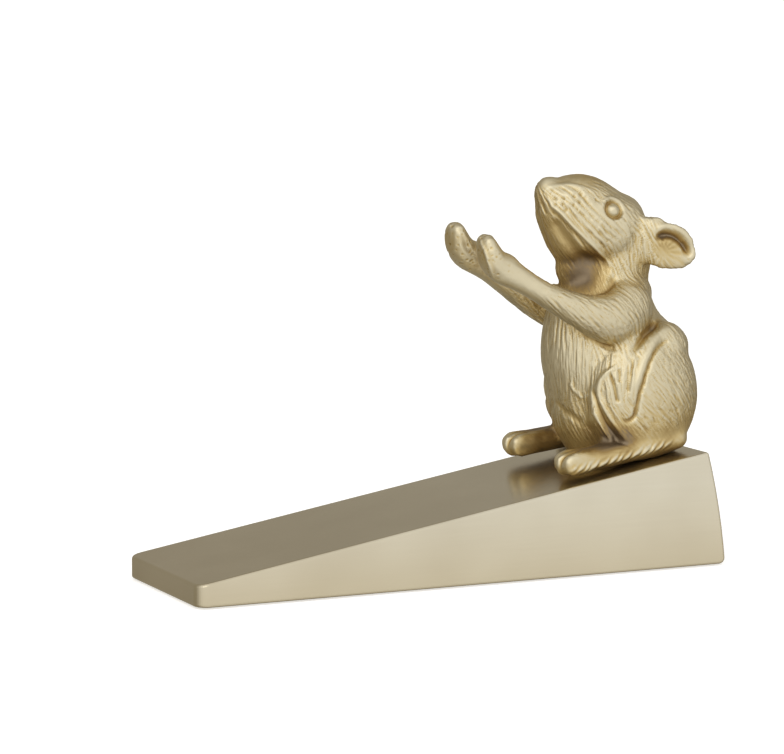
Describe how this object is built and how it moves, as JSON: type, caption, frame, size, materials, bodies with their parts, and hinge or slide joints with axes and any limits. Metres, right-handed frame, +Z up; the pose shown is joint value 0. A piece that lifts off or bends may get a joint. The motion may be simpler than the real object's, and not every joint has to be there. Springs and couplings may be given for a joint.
{
  "type": "door stop",
  "caption": "Satin metal door wedge with a sloping top, a cast mouse seated at the tall end with both forepaws raised towards the door, and a rubber pad underneath.",
  "frame": {"origin": "centre of the footprint, on the underside of the rubber pad, where it meets the floor", "axes": "+X from the thin tip to the tall heel, along the length; +Y across the width, to the mouse's right; +Z up"},
  "size_m": [0.1708, 0.056, 0.1174],
  "materials": {
    "satin_brass": "aluminium with a brushed satin champagne-brass finish",
    "cast_brass": "cast aluminium with an antiqued brass finish, worn bright on the raised fur",
    "black_rubber": "matt moulded rubber",
    "zinc_steel": "zinc-plated steel"
  },
  "bodies": {
    "root": {"wedge_body": "satin_brass", "mouse_figure": "cast_brass", "non_slip_pad": "black_rubber", "front_fixing_screw": "zinc_steel", "rear_fixing_screw": "zinc_steel", "front_spring_washer": "zinc_steel", "rear_spring_washer": "zinc_steel"}
  },
  "joints": []
}
